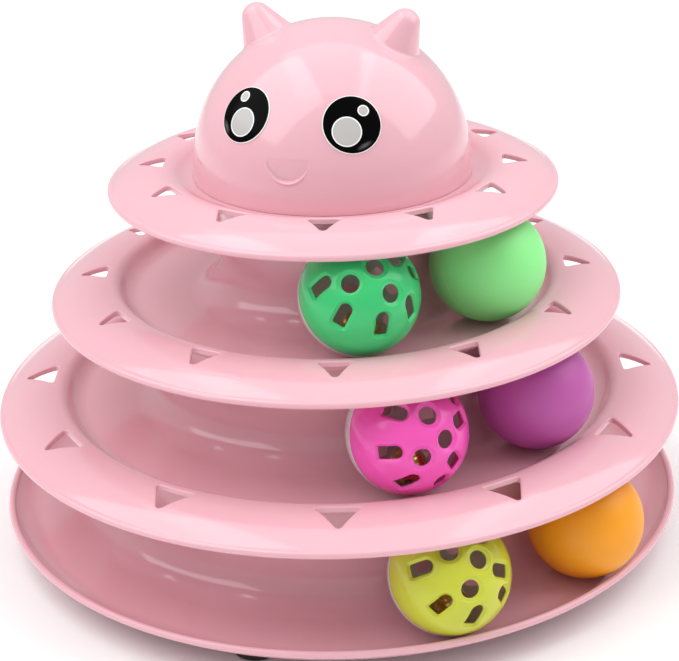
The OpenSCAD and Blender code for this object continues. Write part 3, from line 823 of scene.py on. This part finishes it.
def lattice_half(name, axes, centre):
    """Half of a hollow ball, with round holes near its pole and slots round them, all bevelled."""
    inner_r = LATTICE_R - BALL_WALL
    openings = []
    for polar, about in HOLE_ANGLES:
        openings.append((turn_z(about) @ turn_y(polar), hole_loop, HOLE_BEVEL))
    for polar, about, lean in SLOT_ANGLES:
        for side in (-1, 1):
            place = turn_z(side * about) @ turn_y(polar) @ turn_z(side * lean)
            openings.append((place, slot_loop, SLOT_BEVEL))

    def on_sphere(loop, place, rho):
        height = np.sqrt(rho**2 - loop[:, 0] ** 2 - loop[:, 1] ** 2)
        return np.column_stack([loop, height]) @ place.T

    def flattened(points):
        """Spread directions from the pole over a flat disc, one unit for each radian."""
        d = points / np.linalg.norm(points, axis=1)[:, None]
        polar = np.arccos(np.clip(d[:, 2], -1, 1))
        turn = np.arctan2(d[:, 1], d[:, 0])
        return np.column_stack([polar * np.cos(turn), polar * np.sin(turn)])

    def rounded(points, rho):
        polar = np.hypot(points[:, 0], points[:, 1])
        share = np.where(polar > 1e-9, np.sin(polar) / np.maximum(polar, 1e-9), 1.0)
        return rho * np.column_stack([points[:, 0] * share, points[:, 1] * share, np.cos(polar)])

    soup = Soup()
    turns = np.radians(np.arange(LATTICE_STEPS) * 360 / LATTICE_STEPS)
    top_polar = math.pi / 2 - JOIN_EDGE_R / LATTICE_R
    edge = np.column_stack([top_polar * np.cos(turns), top_polar * np.sin(turns)])
    fill = [(0.0, 0.0)]
    for step in range(1, LATTICE_ROWS):
        polar = top_polar * step / LATTICE_ROWS
        n = max(ROW_FILL_LEAST, int(round(LATTICE_STEPS * math.sin(polar) * ROW_FILL_SHARE)))
        spread = 2 * math.pi * (np.arange(n) + step % 2 / 2) / n
        fill += [(polar * math.cos(t), polar * math.sin(t)) for t in spread]
    outer_holes, inner_holes = [], []
    for place, loop, bevel in openings:
        rings = []
        for grow, depth in bevel_rings(bevel):
            rings.append(on_sphere(loop(grow), place, LATTICE_R - depth))
        for a, b in zip(rings[:-1], rings[1:]):
            soup.strip(a, b)
        outer_holes.append(flattened(rings[0]))
        inner_holes.append(flattened(rings[-1]))
    for rho, holes in ((LATTICE_R, outer_holes), (inner_r, inner_holes)):
        flat, faces = punched(edge, holes, fill, FLAT_CLEAR)
        soup.add(rounded(flat, rho), faces)
    low = JOIN_LOW_SHARE * JOIN_EDGE_R
    across, along = JOIN_MIDDLE_SHARES
    line = [
        (LATTICE_R * math.sin(top_polar), LATTICE_R * math.cos(top_polar)),
        (LATTICE_R - across * JOIN_EDGE_R, along * JOIN_EDGE_R),
        (LATTICE_R - JOIN_EDGE_R, low),
        (inner_r, low),
        (inner_r * math.sin(top_polar), inner_r * math.cos(top_polar)),
    ]
    rings = []
    for r, z in line:
        rings.append(np.column_stack([r * np.cos(turns), r * np.sin(turns), np.full(LATTICE_STEPS, z)]))
    for a, b in zip(rings[:-1], rings[1:]):
        soup.strip(a, b)
    points = np.array(soup.points) @ axes.T + centre
    return mesh_object(name, points, soup.faces, SOFT_ANGLE)


def plain_ball(name, node, axes):
    """A smooth ball with the faint welded seam of its two halves."""
    low, high = box_mm(node)
    centre = (low + high) / 2
    r = (high[2] - low[2]) / 2
    rows = np.linspace(-90, 90, SMALL_STEPS + 1)
    seam_rows = np.linspace(-SEAM_BAND, SEAM_BAND, SEAM_STEPS + 1)
    ups = np.radians(np.unique(np.concatenate([rows, seam_rows])))
    dip = SEAM_DEPTH * np.exp(-((ups * r) / (SEAM_W / 2)) ** 2)
    line = np.column_stack([(r - dip) * np.cos(ups), (r - dip) * np.sin(ups)])
    soup = Soup()
    soup.revolve(line, steps=BALL_STEPS)
    return mesh_object(name, np.array(soup.points) @ axes.T + centre, soup.faces, SOFT_ANGLE)


# Materials
def material(name, color, roughness, **sockets):
    made = bpy.data.materials.new(name)
    made.use_nodes = True
    shader = made.node_tree.nodes["Principled BSDF"]
    shader.inputs["Base Color"].default_value = (*color, 1)
    shader.inputs["Roughness"].default_value = roughness
    for key, value in sockets.items():
        shader.inputs[key.replace("_", " ")].default_value = value
    return made, made.node_tree, shader


def noise_color(tree, shader, color_a, color_b, scale):
    """Mixes two colours by a noise over the surface."""
    coords = tree.nodes.new("ShaderNodeTexCoord")
    noise = tree.nodes.new("ShaderNodeTexNoise")
    noise.inputs["Scale"].default_value = scale
    noise.inputs["Detail"].default_value = 4.0
    ramp = tree.nodes.new("ShaderNodeValToRGB")
    for end, position, color in zip(ramp.color_ramp.elements, (0.35, 0.65), (color_a, color_b)):
        end.position = position
        end.color = (*color, 1)
    tree.links.new(coords.outputs["Object"], noise.inputs["Vector"])
    tree.links.new(noise.outputs["Fac"], ramp.inputs["Fac"])
    tree.links.new(ramp.outputs["Color"], shader.inputs["Base Color"])
    return coords


def noise_roughness(tree, shader, coords, scale, low, high, stretch=(1, 1, 1)):
    place = tree.nodes.new("ShaderNodeMapping")
    place.inputs["Scale"].default_value = stretch
    noise = tree.nodes.new("ShaderNodeTexNoise")
    noise.inputs["Scale"].default_value = scale
    span = tree.nodes.new("ShaderNodeMapRange")
    span.inputs["To Min"].default_value = low
    span.inputs["To Max"].default_value = high
    tree.links.new(coords.outputs["Object"], place.inputs["Vector"])
    tree.links.new(place.outputs["Vector"], noise.inputs["Vector"])
    tree.links.new(noise.outputs["Fac"], span.inputs["Value"])
    tree.links.new(span.outputs["Result"], shader.inputs["Roughness"])


def noise_bump(tree, shader, coords, scale, distance, strength):
    noise = tree.nodes.new("ShaderNodeTexNoise")
    noise.inputs["Scale"].default_value = scale
    noise.inputs["Detail"].default_value = 3.0
    bump = tree.nodes.new("ShaderNodeBump")
    bump.inputs["Strength"].default_value = strength
    bump.inputs["Distance"].default_value = distance
    tree.links.new(coords.outputs["Object"], noise.inputs["Vector"])
    tree.links.new(noise.outputs["Fac"], bump.inputs["Height"])
    tree.links.new(bump.outputs["Normal"], shader.inputs["Normal"])


def shade(color, share):
    return tuple(c * share for c in color)


def pink_plastic():
    made, tree, shader = material(
        "pink_plastic", PINK, 0.12,
        Subsurface_Weight=0.1, Subsurface_Scale=0.003, Coat_Weight=0.25, Coat_Roughness=0.06,
    )
    shader.inputs["Subsurface Radius"].default_value = (1.0, 0.45, 0.5)
    coords = noise_color(tree, shader, PINK, PINK_WARM, scale=18.0)
    noise_roughness(tree, shader, coords, scale=60.0, low=0.1, high=0.16)
    noise_bump(tree, shader, coords, scale=420.0, distance=0.00002, strength=0.35)
    return made


def satin_plastic(name, color):
    made, tree, shader = material(name, color, 0.45, Subsurface_Weight=0.15, Subsurface_Scale=0.004)
    coords = noise_color(tree, shader, color, shade(color, 0.95), scale=40.0)
    noise_roughness(tree, shader, coords, scale=90.0, low=0.4, high=0.5)
    noise_bump(tree, shader, coords, scale=2600.0, distance=0.00003, strength=0.5)
    return made


def lattice_plastic(name, color, transmission):
    made, tree, shader = material(
        name, color, 0.14,
        Subsurface_Weight=0.3, Subsurface_Scale=0.004, Transmission_Weight=transmission, IOR=1.45,
    )
    coords = noise_color(tree, shader, color, shade(color, 0.93), scale=45.0)
    noise_roughness(tree, shader, coords, scale=80.0, low=0.1, high=0.2)
    noise_bump(tree, shader, coords, scale=260.0, distance=0.00005, strength=0.3)
    return made


def brass():
    made, tree, shader = material("bell_brass", BRASS, 0.22, Metallic=1.0)
    coords = noise_color(tree, shader, BRASS, BRASS_DARK, scale=220.0)
    noise_roughness(tree, shader, coords, scale=500.0, low=0.16, high=0.34, stretch=(1, 1, 6))
    return made


def steel():
    made, tree, shader = material("pellet_steel", STEEL, 0.3, Metallic=1.0)
    coords = noise_color(tree, shader, STEEL, STEEL_DARK, scale=400.0)
    noise_roughness(tree, shader, coords, scale=700.0, low=0.25, high=0.4)
    return made


def rubber():
    made, tree, shader = material("pad_rubber", RUBBER, 0.6)
    coords = noise_color(tree, shader, RUBBER, RUBBER_WORN, scale=300.0)
    noise_roughness(tree, shader, coords, scale=600.0, low=0.5, high=0.7)
    noise_bump(tree, shader, coords, scale=1800.0, distance=0.00006, strength=0.6)
    return made


def vinyl(name, color):
    """Printed glossy vinyl."""
    made, tree, shader = material(name, color, 0.12, Specular_IOR_Level=0.25)
    coords = noise_color(tree, shader, color, shade(color, 0.97), scale=60.0)
    noise_roughness(tree, shader, coords, scale=200.0, low=0.1, high=0.18)
    return made


def glowing_vinyl(name, axes, across, up, color):
    """Black vinyl with a soft grey gleam printed along its rim, round one point of the disc."""
    made, tree, shader = material(name, EYE_BLACK, 0.12, Specular_IOR_Level=0.03)
    along = math.degrees(math.atan2(-across, up))
    frame_here = axes @ turn_z(along)
    height = math.sqrt(DOME_R**2 - across**2 - up**2)
    coords = tree.nodes.new("ShaderNodeTexCoord")
    place = tree.nodes.new("ShaderNodeMapping")
    place.vector_type = "TEXTURE"
    middle = (np.array([across, up, height]) @ axes.T + DOME_CENTRE) * MM
    place.inputs["Location"].default_value = tuple(middle)
    place.inputs["Rotation"].default_value = Matrix(frame_here.tolist()).to_euler()
    place.inputs["Scale"].default_value = tuple(np.array(GLEAM_SIZE) * MM)
    gleam = tree.nodes.new("ShaderNodeTexGradient")
    gleam.gradient_type = "SPHERICAL"
    ramp = tree.nodes.new("ShaderNodeValToRGB")
    ramp.color_ramp.interpolation = "EASE"
    ramp.color_ramp.elements[0].color = (*EYE_BLACK, 1)
    ramp.color_ramp.elements[1].color = (*color, 1)
    tree.links.new(coords.outputs["Object"], place.inputs["Vector"])
    tree.links.new(place.outputs["Vector"], gleam.inputs["Vector"])
    tree.links.new(gleam.outputs["Fac"], ramp.inputs["Fac"])
    tree.links.new(ramp.outputs["Color"], shader.inputs["Base Color"])
    noise_roughness(tree, shader, coords, scale=200.0, low=0.1, high=0.18)
    return made


def dress(piece, made, body, node):
    """Gives a piece its material and the body that it rides, and hides the node that it stands for."""
    piece.data.materials.clear()
    piece.data.materials.append(made)
    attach(piece, body)
    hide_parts(node)


def dress_node(node, made):
    mesh = frame["nodes"][node].data
    mesh.materials.clear()
    mesh.materials.append(made)


def dress_tower():
    pink = pink_plastic()
    dress(base_tray(), pink, "base", "base_tray")
    dress(lower_tray(), pink, "lower", "lower_tray")
    dress(middle_tray(), pink, "middle", "middle_tray")
    dress(top_tray(), pink, "top", "top_tray")
    dress(cat_head(), pink, "top", "cat_head")
    dress(ear("left_ear", -1), pink, "top", "cat_head")
    dress(ear("right_ear", 1), pink, "top", "cat_head")


def dress_eyes():
    """Each eye is a white edge, a black disc and two grey spots with white rims, in thin steps."""
    white_vinyl = vinyl("sticker_white", EYE_WHITE)
    grey_vinyl = vinyl("sticker_grey", EYE_GREY)
    edge_t = STICKER_T - DISC_SINK
    for side, word in ((-1, "left"), (1, "right")):
        node = word + "_eye"
        black = glowing_vinyl(node + "_black", eye_axes(side), *EYE_GLEAMS[side], GLEAM_GREY)
        edge = sticker(node + "_edge", side, STICKER_R, GLUE_T, edge_t)
        dress(edge, white_vinyl, "top", node)
        lift = GLUE_T + edge_t
        disc = sticker(node + "_disc", side, STICKER_R - EYE_EDGE, lift, DISC_LIFT)
        dress(disc, black, "top", node)
        for i, (across, up, r) in enumerate(EYE_SPOTS[side]):
            spot_name = "%s_spot_%d" % (node, i)
            rim_lift = lift + DISC_LIFT
            rim = sticker(spot_name + "_rim", side, r, rim_lift, DISC_LIFT, across, up)
            dress(rim, white_vinyl, "top", node)
            spot_lift = rim_lift + DISC_LIFT / 2
            spot = sticker(spot_name, side, r - SPOT_EDGE, spot_lift, DISC_LIFT, across, up)
            dress(spot, grey_vinyl, "top", node)


def dress_pads():
    made = rubber()
    for i in range(1, FOOT_COUNT + 1):
        dress_node("foot_pad_" + str(i), made)


def dress_lattice_balls():
    """Each lattice ball has a coloured and a white half, turned as its pole is, round its bell."""
    white_made = lattice_plastic("white_lattice_plastic", LATTICE_WHITE, 0.25)
    brass_made = brass()
    steel_made = steel()
    places = {joint["name"]: joint["pos_m"] for joint in frame["joints"] if "pos_m" in joint}
    for word, (tilt, heading, spin) in POLES.items():
        place = turn_z(heading) @ turn_y(tilt) @ turn_z(spin)
        centre = np.array(places[word + "_roll"]) / MM
        body = word + "_lattice"
        slot = word + "_lattice_plastic"
        colored = lattice_plastic(slot, LATTICE_COLORS[word], 0.0)
        front = lattice_half(word + "_shell", place, centre)
        back = lattice_half(word + "_white_shell", place @ turn_x(180), centre)
        dress(front, colored, body, word + "_half")
        dress(back, white_made, body, word + "_white_half")
        for part in ("_bell_cap", "_bell_cup"):
            dress_node(word + part, brass_made)
        dress_node(word + "_pellet", steel_made)


def dress_plain_balls():
    for word, color in PLAIN_COLORS.items():
        tilt, heading = SEAMS[word]
        slot = word + "_plastic"
        made = satin_plastic(slot, color)
        skin = plain_ball(word + "_ball_skin", word + "_ball", turn_z(heading) @ turn_x(tilt))
        dress(skin, made, word, word + "_ball")


def studio():
    """A pale floor under an even white sky."""
    half = FLOOR_W / 2
    mesh = bpy.data.meshes.new("floor")
    corners = [(-half, -half, 0), (half, -half, 0), (half, half, 0), (-half, half, 0)]
    mesh.from_pydata(corners, [], [(0, 1, 2, 3)])
    floor = bpy.data.objects.new("floor", mesh)
    bpy.context.scene.collection.objects.link(floor)
    made, tree, shader = material("floor", FLOOR_WHITE, 0.7)
    noise_color(tree, shader, FLOOR_WHITE, FLOOR_WHITE_LIGHT, scale=3.0)
    floor.data.materials.append(made)
    world = bpy.data.worlds.new("studio")
    world.use_nodes = True
    sky = world.node_tree.nodes["Background"]
    sky.inputs["Color"].default_value = (1, 1, 1, 1)
    sky.inputs["Strength"].default_value = SKY_STRENGTH
    bpy.context.scene.world = world


def softbox(name, location, size, power):
    data = bpy.data.lights.new(name, "AREA")
    data.shape = "RECTANGLE"
    data.size, data.size_y = size
    data.energy = power
    lamp = bpy.data.objects.new(name, data)
    lamp.location = location
    lamp.rotation_mode = "QUATERNION"
    ahead = Vector(SOFTBOX_TARGET) - Vector(location)
    lamp.rotation_quaternion = ahead.to_track_quat("-Z", "Y")
    bpy.context.scene.collection.objects.link(lamp)


def camera():
    """The photograph's own viewpoint, fitted to the rims, cut-outs and balls."""
    tilt, pan, roll = (math.radians(angle) for angle in CAMERA_ANGLES)
    level = math.cos(tilt)
    ahead = Vector((math.sin(pan) * level, math.cos(pan) * level, -math.sin(tilt)))
    right = Vector((math.cos(pan), -math.sin(pan), 0))
    up = right.cross(ahead)
    right_rolled = math.cos(roll) * right + math.sin(roll) * up
    up_rolled = -math.sin(roll) * right + math.cos(roll) * up
    data = bpy.data.cameras.new("camera")
    data.sensor_width = SENSOR_W
    data.lens = SENSOR_W * FOCAL_PX / PHOTO_W_PX
    lens = bpy.data.objects.new("camera", data)
    turn = Matrix((right_rolled, up_rolled, -ahead)).transposed().to_4x4()
    lens.matrix_world = Matrix.Translation(CAMERA_PLACE) @ turn
    bpy.context.scene.collection.objects.link(lens)
    bpy.context.scene.camera = lens


dress_tower()
dress_eyes()
dress_pads()
dress_lattice_balls()
dress_plain_balls()
studio()
for box_name, (box_place, box_size, box_power) in SOFTBOXES.items():
    softbox(box_name, box_place, box_size, box_power)
camera()
bpy.context.scene.view_settings.view_transform = "Standard"
